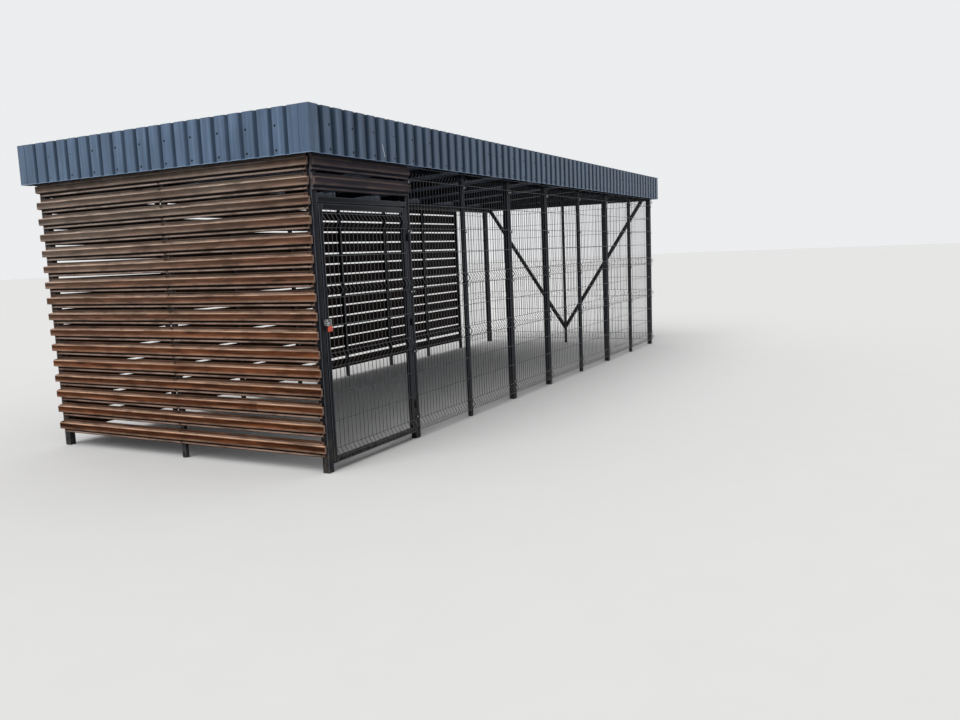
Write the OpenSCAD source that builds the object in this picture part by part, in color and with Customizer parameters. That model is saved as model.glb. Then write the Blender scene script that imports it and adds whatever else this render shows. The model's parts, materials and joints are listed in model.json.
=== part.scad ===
// Bicycle shelter: black square posts under a level fascia of profiled sheet,
// a shallow lean-to roof behind it, slatted timber on the left end and the rear,
// welded fold-mesh panels on the front and the right end, and a hinged mesh gate.
// X runs along the front, the front faces -Y, Z is up and the posts stand on z = 0.

/* [Frame] */
// Spacing of the post centres at the gate
gate_bay = 1200; // [1000:10:1500]
// Spacing of the post centres from the gate to the middle
bay = 970; // [800:10:1200]
// Depth over the outer faces of the posts
frame_depth = 2940; // [2400:10:3600]
// Side of the square posts
post_size = 60; // [50:5:80]
// Side of the slimmer posts
slim_size = 40; // [30:5:50]
// Distance from the top of the fascia down to the post tops
post_drop = 100; // [80:5:130]
// Height of the beams
beam_h = 80; // [60:5:90]
// Thickness of the beams
beam_w = 50; // [40:5:60]
// Height of the tie beams
tie_h = 40; // [30:5:50]
// Gap between the tie beams and the lowest joist ends over them
tie_gap = 10; // [5:1:20]

/* [Roof] */
// Distance from the top of the fascia down to the roof sheet at the front of the posts
roof_drop = 75; // [70:1:90]
// Fall of the roof from the front face to the rear face of the posts
roof_fall = 150; // [100:5:160]
// Height of the roof joists
joist_h = 80; // [60:5:90]
// Thickness of the roof joists
joist_w = 50; // [40:5:60]
// Pitch of the ribs of the roof sheet
roof_pitch = 250; // [200:1:300]
// Depth of the ribs of the roof sheet
roof_rib = 18; // [12:1:20]
// Thickness of the profiled sheets
sheet_t = 3; // [2:0.5:4]

/* [Fascia] */
// Height of the fascia
fascia_h = 328; // [310:1:340]
// Distance from the outer face of the posts to the outside of the corner flashings
fascia_out = 95; // [90:1:110]
// Pitch of the fascia ribs
rib_pitch = 135; // [120:0.5:150]
// Distance from the end of the long sheets to their first groove
long_start = 105; // [60:1:150]
// Distance from the end of the short sheets to their first groove
short_start = 196; // [90:1:210]
// Width of a groove at the bottom
groove_w = 24; // [16:1:30]
// Depth of the fascia ribs
rib_depth = 18; // [12:1:20]
// Run of a groove's sloping side
groove_slope = 8; // [5:1:12]
// Height of the fascia rails
rail_h = 40; // [30:1:50]
// Distance from the top of the fascia to the middle of the upper rail
upper_rail_drop = 124; // [115:1:130]
// Distance from the bottom of the fascia to the middle of the lower rail
lower_rail_rise = 36; // [30:1:50]
// Width of a leg of the corner flashings
flashing_leg = 90; // [70:1:110]
// Thickness of the corner flashings
flashing_t = 2; // [1:0.5:3]

/* [Timber] */
// Number of rows of boards
board_rows = 16; // [12:1:16]
// Distance from one row to the next
board_pitch = 135.5; // [130:0.5:136]
// Height of a board
board_h = 118; // [105:1:120]
// Thickness of a board
board_t = 18; // [15:1:25]
// Height of the strip on the face of each board
strip_h = 58; // [50:1:70]
// Thickness of the strip
strip_t = 20; // [15:1:25]
// Distance from the bottom edge of a board to its strip
strip_rise = 33; // [30:1:40]
// Distance from the end of a strip to the end of its board
board_set_in = 29; // [20:1:40]
// Slot between two boards that meet at a post
board_slot = 12; // [6:1:20]
// Distance that the lowest row lies below its place in the series
foot_drop = 13; // [0:1:30]

/* [Mesh] */
// Distance between the upright wires
wire_pitch = 50; // [40:1:60]
// Thickness of the wires
wire_t = 5; // [4:0.5:6]
// Height of the lowest wire
mesh_low = 70; // [60:1:90]
// Height of the openings between two folds
mesh_step = 200; // [180:1:202]
// Height of a fold
fold_h = 100; // [80:1:110]
// Depth of a fold
fold_d = 32; // [20:1:35]
// Length of the wire ends over the top wire of the gate
wire_end = 30; // [20:1:40]
// Width of a mesh clamp
clamp_w = 60; // [50:1:70]
// Height of a mesh clamp
clamp_h = 24; // [20:1:30]
// Thickness of a mesh clamp
clamp_t = 4; // [3:0.5:5]

/* [Gate] */
// Gap between the gate and each post
gate_gap = 10; // [8:1:15]
// Side of the gate's square tube
gate_tube = 40; // [30:1:45]
// Distance from the gate's lower edge up to its lowest wire
gate_under = 10; // [5:1:20]
// Distance from the wire ends up to the gate's upper edge
gate_over = 40; // [30:1:50]
// Gap between the rail over the gate and the boards over it
head_gap = 42; // [30:1:60]
// Distance of the outer hinges from the ends of the gate
hinge_inset = 240; // [180:5:300]
// Width of a hinge leaf on the stile and on the post
leaf_w = 22; // [18:1:26]
// Thickness of the hinge leaves
leaf_t = 4; // [3:0.5:5]
// Diameter of the hinge pins
pin_d = 12; // [10:1:14]
// Diameter of the hinge barrels
barrel_d = 24; // [20:1:28]
// Length of a hinge barrel
barrel_h = 60; // [50:1:80]
// Width of the padlock
lock_w = 46; // [40:1:55]
// Height of the padlock's case
lock_h = 40; // [35:1:50]
// Thickness of the padlock's case
lock_t = 20; // [16:1:25]
// Diameter of the padlock's shackle
shackle_d = 8; // [6:0.5:9]
// Distance the eye plates stand out
eye_out = 36; // [30:1:45]
// Height of an eye plate
eye_h = 46; // [40:1:60]
// Distance from the gap to each eye plate
eye_in = 12; // [10:1:20]
// Diameter of the padlock hole in each eye plate
eye_hole = 12; // [10:0.5:14]
// Thickness of the eye plates
eye_t = 5; // [4:0.5:6]
// Height of the padlock hole above the ground
lock_z = 1098; // [1000:1:1150]

/* [Brace] */
// Side of the brace tubes
brace_w = 50; // [30:1:50]
// Height of the lower end of the brace
brace_low = 240; // [200:5:300]

/* [Hidden] */
// Clearance of pieces that rest on each other without touching
seat = 0.3;
// Gap between the top boards and the rail over them
board_gap = 2.5;
// Gap between two mesh panels, and between a panel and a corner
panel_gap = 8;
// Gap between the roof sheet and a post beside it
notch_gap = 1;
// Gap between the tall mesh panels and the rail over them
rail_clear = 6;
bays = 8;
half_bays = bays / 2;
half_length = gate_bay + (half_bays - 1) * bay;
// Spacing of the post centres from the middle to the open end
far_bay = half_length / half_bays;
frame_length = 2 * half_length + post_size;
x_left = -frame_length / 2;
x_right = frame_length / 2;
y_front = -frame_depth / 2;
y_rear = frame_depth / 2;

// Heights of the wires that start a fold, from the lowest, and of the plain wires between
fold_lows = [mesh_low,
             mesh_low + fold_h + 3 * mesh_step,
             mesh_low + 2 * fold_h + 5 * mesh_step,
             mesh_low + 3 * fold_h + 7 * mesh_step];
plain_wires = [mesh_low + fold_h + mesh_step,
               mesh_low + fold_h + 2 * mesh_step,
               mesh_low + 2 * fold_h + 4 * mesh_step,
               mesh_low + 3 * fold_h + 6 * mesh_step];
mesh_top = fold_lows[3] + fold_h + wire_end;

// The panels beside the gate are two openings higher, with their highest fold at the top
tall_lows = [fold_lows[0], fold_lows[1], fold_lows[2], fold_lows[3] + 2 * mesh_step];
tall_plain = concat(plain_wires, [fold_lows[3], fold_lows[3] + mesh_step]);

// The gate is as high as its mesh, and the boards, the fascia and the roof go up from it
gate_low = mesh_low - gate_under;
gate_top = mesh_top + gate_over;
head_rail_z = gate_top + gate_gap;
rows_over_gate = 2;
board_low = head_rail_z + gate_tube + head_gap - (board_rows - rows_over_gate) * board_pitch;
board_top = board_low + (board_rows - 1) * board_pitch + board_h;
lower_rail_z = board_top + board_gap + rail_h / 2;
fascia_low = lower_rail_z - lower_rail_rise;
total_height = fascia_low + fascia_h;
upper_rail_z = total_height - upper_rail_drop;
post_top = total_height - post_drop;
roof_high = total_height - roof_drop;
tall_top = lower_rail_z - rail_h / 2 - rail_clear;

// Middle of post i, counted from the left
function post_x(i) = i == 0 ? -half_length : (i - half_bays) * (i < half_bays ? bay : far_bay);

// Side of post i of the front and of the rear
function front_side(i) = i == 2 || i == 5 || i == 7 ? slim_size : post_size;
function rear_side(i) = i == 0 || i == bays ? post_size : slim_size;

// Height of the underside of the roof sheet at a depth
function roof_z(y) = roof_high - roof_fall * (y - y_front) / frame_depth;

// Height of the underside of the tie beams
tie_z = roof_z(y_rear - post_size) - joist_h - tie_gap - tie_h;

black = [0.09, 0.09, 0.10];
slate = [0.27, 0.34, 0.40];
brown = [0.42, 0.27, 0.20];
steel = [0.55, 0.56, 0.58];

rail_out = fascia_out - flashing_t - rib_depth;

// Square post that stands on the ground
module post(x, y, side) {
    translate([x - side / 2, y - side / 2, 0])
        cube([side, side, post_top]);
}

// Posts with their outer faces on the faces of the frame
module front_post(i) {
    color(black) post(post_x(i), y_front + front_side(i) / 2, front_side(i));
}

module latch_post() { front_post(0); }
module hinge_post() { front_post(1); }

module front_posts() {
    for (i = [2:bays]) front_post(i);
}

module rear_posts() {
    color(black) for (i = [0:bays]) post(post_x(i), y_rear - rear_side(i) / 2, rear_side(i));
}

middle_post_x = [x_left + slim_size / 2, x_right - slim_size / 2];

module middle_posts() {
    color(black) for (x = middle_post_x) post(x, 0, slim_size);
}

// Beams along the inner faces of the posts, with level tops that the joists are cut over
front_beam_z = roof_z(y_front + post_size) - joist_h - beam_h;
rear_beam_z = roof_z(y_rear - post_size - beam_w) - joist_h - beam_h;

module front_beam_bar() {
    translate([x_left, y_front + post_size, front_beam_z])
        cube([frame_length, beam_w, beam_h]);
}

module rear_beam_bar() {
    translate([x_left, y_rear - post_size - beam_w, rear_beam_z])
        cube([frame_length, beam_w, beam_h]);
}

module front_beam() {
    color(black) front_beam_bar();
}

module rear_beam() {
    color(black) rear_beam_bar();
}

// Level beams from the front post and the rear beam to the middle post of an end wall
module tie_beam(x) {
    for (span = [[y_front + post_size, -slim_size / 2],
                 [slim_size / 2, y_rear - post_size - beam_w - seat]])
        translate([x - beam_w / 2, span[0], tie_z])
            cube([beam_w, span[1] - span[0], tie_h]);
}

module tie_beams() {
    color(black) for (i = [0, bays]) tie_beam(post_x(i));
}

// Sloping joist between the inner faces of front post i and rear post i
module joist(i) {
    y0 = y_front + front_side(i);
    y1 = y_rear - rear_side(i);
    translate([post_x(i) - joist_w / 2, 0, 0])
        rotate([90, 0, 90])
            linear_extrude(joist_w)
                polygon([[y0, roof_z(y0) - joist_h], [y1, roof_z(y1) - joist_h],
                         [y1, roof_z(y1) - seat], [y0, roof_z(y0) - seat]]);
}

module roof_joists() {
    color(black) difference() {
        for (i = [0:bays]) joist(i);
        front_beam_bar();
        rear_beam_bar();
        for (x = [post_x(0), post_x(bays)])
            translate([x - post_size / 2, -slim_size / 2, 0])
                cube([post_size, slim_size, post_top]);
    }
}

// Corners of one groove, as [x, y], with the face of the sheet at y = 0
function groove(depth) = [[-groove_w / 2 - groove_slope, 0], [-groove_w / 2, depth],
                          [groove_w / 2, depth], [groove_w / 2 + groove_slope, 0]];

// Outline of a profiled sheet along x, whose first groove is in the middle of start
function ribbed(length, start, pitch, depth) =
    let (last = floor((length - start - groove_w / 2 - 2 * groove_slope) / pitch))
    concat([[0, 0]],
           [for (i = [0:last], p = groove(depth)) [start + i * pitch + p[0], p[1]]],
           [[length, 0]]);

module profiled_sheet(length, height, start, pitch, depth) {
    front = ribbed(length, start, pitch, depth);
    last = len(front) - 1;
    back = [for (i = [0:last]) [front[last - i][0], front[last - i][1] + sheet_t]];
    linear_extrude(height) polygon(concat(front, back));
}

module roof_sheet() {
    tilt = atan(roof_fall / frame_depth);
    slope_length = frame_depth / cos(tilt) - 2 * (roof_rib + sheet_t) * sin(tilt);
    ribs = floor(frame_length / roof_pitch);
    start = (frame_length - (ribs - 1) * roof_pitch) / 2;
    color(slate) difference() {
        translate([x_left, y_front, roof_high])
            rotate([-tilt, 0, 0])
                translate([0, 0, roof_rib + sheet_t])
                    rotate([-90, 0, 0])
                        profiled_sheet(frame_length, slope_length, start, roof_pitch, roof_rib);
        for (i = [0:bays]) {
            post_notch(post_x(i), y_front + front_side(i) / 2, front_side(i));
            post_notch(post_x(i), y_rear - rear_side(i) / 2, rear_side(i));
        }
        for (x = middle_post_x) post_notch(x, 0, slim_size);
    }
}

// Notch in the edge of the sheet where a post stands up past it
module post_notch(x, y, side) {
    wide = side + 2 * notch_gap;
    translate([x - wide / 2, y - wide / 2, 0])
        cube([wide, wide, post_top + seat]);
}

// Rails round the outer faces of the posts, butted at the corners
module fascia_rail_ring(z) {
    for (my = [0, 1])
        mirror([0, my, 0])
            translate([-frame_length / 2 - rail_out, y_rear, z - rail_h / 2])
                cube([frame_length + 2 * rail_out, rail_out, rail_h]);
    for (mx = [0, 1])
        mirror([mx, 0, 0])
            translate([x_right, y_front + seat, z - rail_h / 2])
                cube([rail_out, frame_depth - 2 * seat, rail_h]);
}

module fascia_rails() {
    color(black) for (z = [upper_rail_z, lower_rail_z]) fascia_rail_ring(z);
}

// Upright profiled sheet whose outer face is at the distance out from the middle
module fascia(length, out, start) {
    w = length - 2 * (flashing_t + rib_depth + sheet_t);
    translate([-w / 2, -out + flashing_t, fascia_low])
        profiled_sheet(w, fascia_h, start, rib_pitch, rib_depth - sheet_t);
}

over_length = frame_length + 2 * fascia_out;
over_depth = frame_depth + 2 * fascia_out;

module front_fascia() {
    color(slate) fascia(over_length, over_depth / 2, long_start);
}

module rear_fascia() {
    color(slate) rotate([0, 0, 180]) fascia(over_length, over_depth / 2, long_start);
}

module left_fascia() {
    color(slate) rotate([0, 0, -90]) fascia(over_depth, over_length / 2, short_start);
}

module right_fascia() {
    color(slate) rotate([0, 0, 90]) fascia(over_depth, over_length / 2, short_start);
}

module corner_flashings() {
    color(slate) for (mx = [0, 1], my = [0, 1])
        mirror([mx, 0, 0]) mirror([0, my, 0])
            translate([-over_length / 2, -over_depth / 2, fascia_low])
                linear_extrude(fascia_h)
                    polygon([[0, 0], [flashing_leg, 0], [flashing_leg, flashing_t],
                             [flashing_t, flashing_t], [flashing_t, flashing_leg],
                             [0, flashing_leg]]);
}

// Rows of boards that lie flat on the plane y = 0 and face -y
module board_row(x0, x1, rows, t, y, low, h) {
    for (i = rows)
        translate([x0, y - t, low + i * board_pitch - (i == 0 ? foot_drop : 0)])
            cube([x1 - x0, t, h]);
}

module boards(x0, x1, rows) {
    board_row(x0, x1, rows, board_t, 0, board_low, board_h);
}

module strips(x0, x1, rows) {
    board_row(x0, x1, rows, strip_t, -board_t, board_low + strip_rise, strip_h);
}

all_rows = [0:board_rows - 1];

module on_left_wall() {
    translate([x_left, 0, 0]) rotate([0, 0, -90]) children();
}

module left_boards() {
    color(brown) on_left_wall() {
        boards(y_front + board_set_in, -board_slot / 2, all_rows);
        boards(board_slot / 2, y_rear - board_set_in, all_rows);
    }
}

module left_strips() {
    color(brown) on_left_wall() strips(y_front, y_rear, all_rows);
}

module on_rear_wall() {
    translate([0, y_rear, 0]) rotate([0, 0, 180]) children();
}

// The rear boards end on the last post before the open bay, where the mesh starts
rear_join = post_x(half_bays);
rear_end = post_x(bays - 1) - panel_gap / 2;

module rear_boards() {
    color(brown) on_rear_wall() {
        boards(-rear_end, -rear_join - board_slot / 2, all_rows);
        boards(-rear_join + board_slot / 2, -x_left - board_set_in, all_rows);
    }
}

module rear_strips() {
    color(brown) on_rear_wall() strips(-rear_end, -x_left, all_rows);
}

// Boards over the gate, on the same levels as the boards of the end wall
head_rows = [board_rows - rows_over_gate:board_rows - 1];
head_x1 = post_x(1) - panel_gap / 2;

module gate_head_boards() {
    color(brown) translate([0, y_front, 0]) boards(x_left, head_x1, head_rows);
}

module gate_head_strips() {
    color(brown) translate([0, y_front, 0]) strips(x_left, head_x1, head_rows);
}

module gate_head_rail() {
    x0 = post_x(0) + post_size / 2;
    color(black) translate([x0, y_front, head_rail_z])
        cube([post_x(1) - post_size / 2 - x0, gate_tube, gate_tube]);
}

// Side view of an upright wire, as [y, z], bent outwards between two wires at each fold
fold_path = [[0, wire_t / 2], [-fold_d, fold_h / 2], [0, fold_h - wire_t / 2]];
function wire_path(lows, top) = concat(
    [[0, mesh_low - wire_t / 2]],
    [for (z = lows, p = fold_path) [p[0], z + p[1]]],
    [[0, top]]);

module upright_wire(x, path) {
    last = len(path) - 1;
    outline = concat([for (p = path) [p[0] - wire_t, p[1]]],
                     [for (i = [0:last]) path[last - i]]);
    translate([x, 0, 0])
        rotate([90, 0, 90])
            linear_extrude(wire_t)
                polygon(outline);
}

module cross_wire(width, z) {
    translate([0, -2 * wire_t, z - wire_t / 2])
        cube([width, wire_t, wire_t]);
}

// Welded mesh panel from x = 0 to the width, its back on the plane y = 0
module mesh_panel(width, lows, plain, top) {
    n = floor((width - wire_t) / wire_pitch);
    step = (width - wire_t) / n;
    path = wire_path(lows, top);
    for (i = [0:n]) upright_wire(i * step, path);
    for (z = concat(plain, lows, [for (low = lows) low + fold_h]))
        cross_wire(width, z);
}

module tall_panel(width) {
    mesh_panel(width, tall_lows, tall_plain, tall_top);
}

module front_mesh(i) {
    x0 = post_x(i) + panel_gap / 2;
    x1 = (i == bays - 1 ? x_right : post_x(i + 1)) - panel_gap / 2;
    color(black) translate([x0, y_front, 0]) tall_panel(x1 - x0);
}

module front_mesh_1() { front_mesh(1); }
module front_mesh_2() { front_mesh(2); }
module front_mesh_3() { front_mesh(3); }
module front_mesh_4() { front_mesh(4); }
module front_mesh_5() { front_mesh(5); }
module front_mesh_6() { front_mesh(6); }
module front_mesh_7() { front_mesh(7); }

module right_mesh(y0, y1) {
    color(black) translate([x_right, y0, 0]) rotate([0, 0, 90]) tall_panel(y1 - y0);
}

module right_mesh_front() {
    right_mesh(y_front + panel_gap / 2, -panel_gap / 2);
}

module right_mesh_rear() {
    right_mesh(panel_gap / 2, y_rear - panel_gap / 2);
}

module rear_mesh() {
    x0 = post_x(bays - 1) + panel_gap / 2;
    x1 = x_right - panel_gap / 2;
    color(black) translate([x1, y_rear, 0]) rotate([0, 0, 180]) tall_panel(x1 - x0);
}

// Flat bars over the mesh at a post, over the lowest fold and under wires further up
clamp_gap = 8;
clamp_levels = concat([fold_lows[0] + fold_h + clamp_gap + clamp_h / 2],
                      [for (i = [1:3]) fold_lows[i] - clamp_gap - clamp_h / 2]);
top_clamp = [tall_lows[3] - clamp_gap - clamp_h / 2];

module clamps(x, w, levels) {
    for (z = levels)
        translate([x - w / 2, -wire_t - clamp_t, z - clamp_h / 2])
            cube([w, clamp_t, clamp_h]);
}

// Short clamps beside boards that end at the middle of a post
module half_clamps(x, side, levels) {
    w = (side - panel_gap) / 2;
    clamps(x + side / 2 - w / 2, w, levels);
}

module mesh_clamps() {
    inset = (post_size - clamp_w) / 2;
    slim_w = min(clamp_w, slim_size);
    every = concat(clamp_levels, top_clamp);
    color(black) {
        translate([0, y_front, 0]) {
            clamps(post_x(1), clamp_w, clamp_levels);
            half_clamps(post_x(1), post_size, top_clamp);
            for (i = [2:bays - 1]) clamps(post_x(i), min(clamp_w, front_side(i)), every);
            clamps(post_x(bays) - inset, clamp_w, every);
        }
        translate([x_right, 0, 0]) rotate([0, 0, 90]) {
            clamps(y_front + post_size / 2 + inset, clamp_w, every);
            clamps(0, slim_w, every);
            clamps(y_rear - post_size / 2 - inset, clamp_w, every);
        }
        translate([0, y_rear, 0]) rotate([0, 0, 180]) {
            mirror([1, 0, 0]) half_clamps(post_x(bays - 1), slim_size, every);
            clamps(-post_x(bays) + inset, clamp_w, every);
        }
    }
}

// Tube from the outer end of a tie beam down to the foot of the middle post
module brace_bar(side) {
    inner = slim_size / 2;
    outer = y_rear - post_size - beam_w - seat;
    run = outer - inner;
    rise = tie_z - brace_low;
    tall = brace_w * norm([run, rise]) / run;
    wide = brace_w * norm([run, rise]) / rise;
    translate([post_x(bays) - brace_w / 2, 0, 0])
        rotate([90, 0, 90])
            linear_extrude(brace_w)
                polygon([[side * inner, brace_low], [side * outer, tie_z],
                         [side * (outer - wide), tie_z], [side * inner, brace_low + tall]]);
}

module front_brace() {
    color(black) brace_bar(-1);
}

module rear_brace() {
    color(black) brace_bar(1);
}

// Gate leaf between the latch post and the hinge post
gate_x0 = post_x(0) + post_size / 2 + gate_gap;
gate_x1 = post_x(1) - post_size / 2 - gate_gap;

module gate_stiles() {
    color(black) for (x = [gate_x0, gate_x1 - gate_tube])
        translate([x, y_front, gate_low])
            cube([gate_tube, gate_tube, gate_top - gate_low]);
}

module gate_rails() {
    x0 = gate_x0 + gate_tube;
    color(black) for (z = [gate_low, gate_top - gate_tube])
        translate([x0, y_front, z])
            cube([gate_x1 - gate_tube - x0, gate_tube, gate_tube]);
}

// The mesh leaves room for the eye plate on one stile and the hinges on the other
leaf_gap = 3;
gate_mesh_inset = leaf_w + leaf_gap;

module gate_mesh() {
    color(black) translate([gate_x0 + gate_mesh_inset, y_front, 0])
        mesh_panel(gate_x1 - gate_x0 - 2 * gate_mesh_inset, fold_lows, plain_wires, mesh_top);
}

// Lift-off hinges in front of the gap: the post carries the pin and the gate the barrel
hinge_x = post_x(1) - post_size / 2 - gate_gap / 2;
hinge_y = y_front - leaf_t / 2 - barrel_d / 2;
hinge_levels = [gate_low + hinge_inset, (gate_low + gate_top) / 2, gate_top - hinge_inset];
pin_clearance = 0.3;

// Plate on the front faces that reaches into the barrel, to the right if side is 1
module hinge_plate(side, h) {
    y_back = y_front - hinge_y;
    far = gate_gap / 2 + leaf_w;
    translate([side > 0 ? 0 : -far, y_back - leaf_t, 0])
        cube([far, leaf_t, h]);
}

module gate_hinges() {
    h = barrel_h / 2;
    color(black) for (z = hinge_levels)
        translate([hinge_x, hinge_y, z])
            difference() {
                union() {
                    cylinder(h = h, d = barrel_d, $fn = 48);
                    hinge_plate(-1, h);
                }
                translate([0, 0, -1])
                    cylinder(h = h - leaf_t, d = pin_d + 2 * pin_clearance, $fn = 48);
            }
}

module post_hinges() {
    h = barrel_h / 2;
    color(black) for (z = hinge_levels)
        translate([hinge_x, hinge_y, z - h - seat]) {
            cylinder(h = h, d = barrel_d, $fn = 48);
            hinge_plate(1, h);
            cylinder(h = 2 * h - 2 * leaf_t, d = pin_d, $fn = 48);
        }
}

// Material outside the hole of an eye plate
eye_edge = 8;

// Eye plate square to the face of a post or stile, with a hole for the padlock
eye_y = y_front - eye_out + eye_hole / 2 + eye_edge;

module eye_plate(x) {
    difference() {
        translate([x, y_front - eye_out, lock_z - eye_h / 2])
            cube([eye_t, eye_out, eye_h]);
        translate([x - 1, eye_y, lock_z])
            rotate([0, 90, 0])
                cylinder(h = eye_t + 2, d = eye_hole, $fn = 48);
    }
}

module latch_keeper() {
    color(steel) eye_plate(gate_x0 - gate_gap - eye_in - eye_t);
}

module gate_hasp() {
    color(steel) eye_plate(gate_x0 + eye_in);
}

// Padlock that hangs from the eye plate of the gate
lock_x = gate_x0 + eye_in + eye_t / 2;
// Distance from the end of the padlock to its shackle
shackle_in = 6;
shackle_r = lock_w / 2 - shackle_d / 2 - shackle_in;
bow_in = shackle_r - shackle_d / 2;
bow_sag = bow_in - sqrt(bow_in * bow_in - eye_t * eye_t / 4);
bow_z = lock_z - eye_hole / 2 + seat + bow_sag - bow_in;
leg_h = 12;
case_top = bow_z - leg_h;

module padlock_case() {
    color([0.72, 0.22, 0.12]) difference() {
        translate([lock_x, eye_y, case_top - lock_h])
            linear_extrude(lock_h)
                hull() for (side = [-1, 1])
                    translate([side * (lock_w - lock_t) / 2, 0])
                        circle(d = lock_t, $fn = 32);
        for (side = [-1, 1])
            translate([lock_x + side * shackle_r, eye_y, case_top - leg_h])
                cylinder(h = leg_h + 1, d = shackle_d + 2 * seat, $fn = 32);
    }
}

module padlock_shackle() {
    color(steel) translate([lock_x, eye_y, bow_z]) {
        rotate([90, 0, 0])
            rotate_extrude(angle = 180, $fn = 48)
                translate([shackle_r, 0]) circle(d = shackle_d, $fn = 24);
        for (side = [-1, 1])
            translate([side * shackle_r, 0, -2 * leg_h])
                cylinder(h = 2 * leg_h, d = shackle_d, $fn = 24);
    }
}

latch_post();
hinge_post();
front_posts();
rear_posts();
middle_posts();
front_beam();
rear_beam();
tie_beams();
roof_joists();
roof_sheet();
fascia_rails();
front_fascia();
rear_fascia();
left_fascia();
right_fascia();
corner_flashings();
left_boards();
left_strips();
rear_boards();
rear_strips();
gate_head_boards();
gate_head_strips();
gate_head_rail();
front_mesh_1();
front_mesh_2();
front_mesh_3();
front_mesh_4();
front_mesh_5();
front_mesh_6();
front_mesh_7();
right_mesh_front();
right_mesh_rear();
rear_mesh();
mesh_clamps();
front_brace();
rear_brace();
gate_stiles();
gate_rails();
gate_mesh();
gate_hinges();
post_hinges();
latch_keeper();
gate_hasp();
padlock_case();
padlock_shackle();
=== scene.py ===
import json
import math
import random

import bmesh
import bpy
from mathutils import Matrix, Vector

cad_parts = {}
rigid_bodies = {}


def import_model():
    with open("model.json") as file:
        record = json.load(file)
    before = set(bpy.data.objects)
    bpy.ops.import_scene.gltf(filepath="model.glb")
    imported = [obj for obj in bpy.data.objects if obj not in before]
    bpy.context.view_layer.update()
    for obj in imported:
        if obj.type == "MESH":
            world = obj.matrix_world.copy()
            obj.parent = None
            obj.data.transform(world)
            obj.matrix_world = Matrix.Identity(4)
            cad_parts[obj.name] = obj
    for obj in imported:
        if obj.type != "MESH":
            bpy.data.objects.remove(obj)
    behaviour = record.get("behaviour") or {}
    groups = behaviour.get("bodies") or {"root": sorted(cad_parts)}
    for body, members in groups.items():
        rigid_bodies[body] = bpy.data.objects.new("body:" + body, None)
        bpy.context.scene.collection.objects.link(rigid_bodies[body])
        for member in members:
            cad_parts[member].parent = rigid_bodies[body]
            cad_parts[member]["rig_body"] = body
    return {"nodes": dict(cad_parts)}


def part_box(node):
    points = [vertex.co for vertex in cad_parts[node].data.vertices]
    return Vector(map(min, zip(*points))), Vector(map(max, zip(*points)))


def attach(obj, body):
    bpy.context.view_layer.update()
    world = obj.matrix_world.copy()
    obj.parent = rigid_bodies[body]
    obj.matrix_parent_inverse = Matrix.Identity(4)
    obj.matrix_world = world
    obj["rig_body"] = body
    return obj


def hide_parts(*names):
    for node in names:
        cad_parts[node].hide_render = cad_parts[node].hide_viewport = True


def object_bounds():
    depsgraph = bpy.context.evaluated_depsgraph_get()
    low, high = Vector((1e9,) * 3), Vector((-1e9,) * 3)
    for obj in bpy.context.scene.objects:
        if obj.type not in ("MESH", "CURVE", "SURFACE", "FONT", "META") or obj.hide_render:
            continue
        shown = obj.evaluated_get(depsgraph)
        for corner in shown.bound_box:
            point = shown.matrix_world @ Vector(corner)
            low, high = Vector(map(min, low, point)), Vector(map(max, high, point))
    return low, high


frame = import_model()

# Bicycle shelter: timber slats, welded mesh, black tube and ribbed sheet. Lengths are in metres,
# and angles in radians unless a name ends in DEG. The sizes that the frame doesn't give are
# named here or at the head of their section.

CAD_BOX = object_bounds()
SHOWN_HALF = (CAD_BOX[1] - CAD_BOX[0]) / 2

# Directions in which the walls face
LEFT = Vector((-1, 0, 0))
RIGHT = Vector((1, 0, 0))
FRONT = Vector((0, -1, 0))
REAR = Vector((0, 1, 0))
UP = Vector((0, 0, 1))

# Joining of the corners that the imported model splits, and of its flat faces
WELD = 1e-6
FLAT_DEG = 1
BOX_PLACES = 4

# Edges that stay sharp between smooth faces
SHARP_DEG = 50
WIRE_SHARP_DEG = 60
SMALL_SHARP_DEG = 35

# Steel tube, flat bar and plate: radius of the rounded edges
TUBE_CORNER = 0.005
SMALL_TUBE_CORNER = 0.004
PLATE_CORNER = 0.0008
EDGE_DEG = 40
EDGE_STEPS = 2
ROUND_PROFILE = 0.5

# Bends of wire and sheet
BEND_STEPS = 2
BEND_REACH = 0.49


# Meshes


class Shape:
    """Corners, faces and values of one piece, collected before its mesh is made."""

    def __init__(self):
        self.points = []
        self.faces = []
        self.slots = []
        self.values = {}

    def ring(self, points, **values):
        """Adds corners and gives their numbers."""
        first = len(self.points)
        self.points += [tuple(p) for p in points]
        for name, listed in values.items():
            self.values.setdefault(name, []).extend(listed)
        return list(range(first, len(self.points)))

    def face(self, corners, slot=0):
        self.faces.append(tuple(corners))
        self.slots.append(slot)

    def skin(self, rings):
        """Faces between closed rings of as many corners each."""
        count = len(rings[0])
        for low, high in zip(rings, rings[1:]):
            for i in range(count):
                j = (i + 1) % count
                self.face((low[i], low[j], high[j], high[i]))

    def caps(self, rings, slot=0):
        """One face over each end."""
        self.face(reversed(rings[0]), slot)
        self.face(rings[-1], slot)

    def sheet_ends(self, rings):
        """Faces over both ends of a sheet, whose rings go out on one side and back on the other."""
        last = len(rings[0]) - 1
        for ring in (rings[0], rings[-1]):
            for i in range(len(ring) // 2 - 1):
                self.face((ring[i], ring[i + 1], ring[last - 1 - i], ring[last - i]))

    def mesh(self, name):
        mesh = bpy.data.meshes.new(name)
        mesh.from_pydata(self.points, [], self.faces)
        mesh.polygons.foreach_set("material_index", self.slots)
        for key, listed in self.values.items():
            if isinstance(listed[0], (float, int)):
                layer = mesh.attributes.new(key, "FLOAT", "POINT")
                layer.data.foreach_set("value", listed)
            else:
                layer = mesh.attributes.new(key, "FLOAT_VECTOR", "POINT")
                layer.data.foreach_set("vector", [c for v in listed for c in v])
        return mesh


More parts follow.
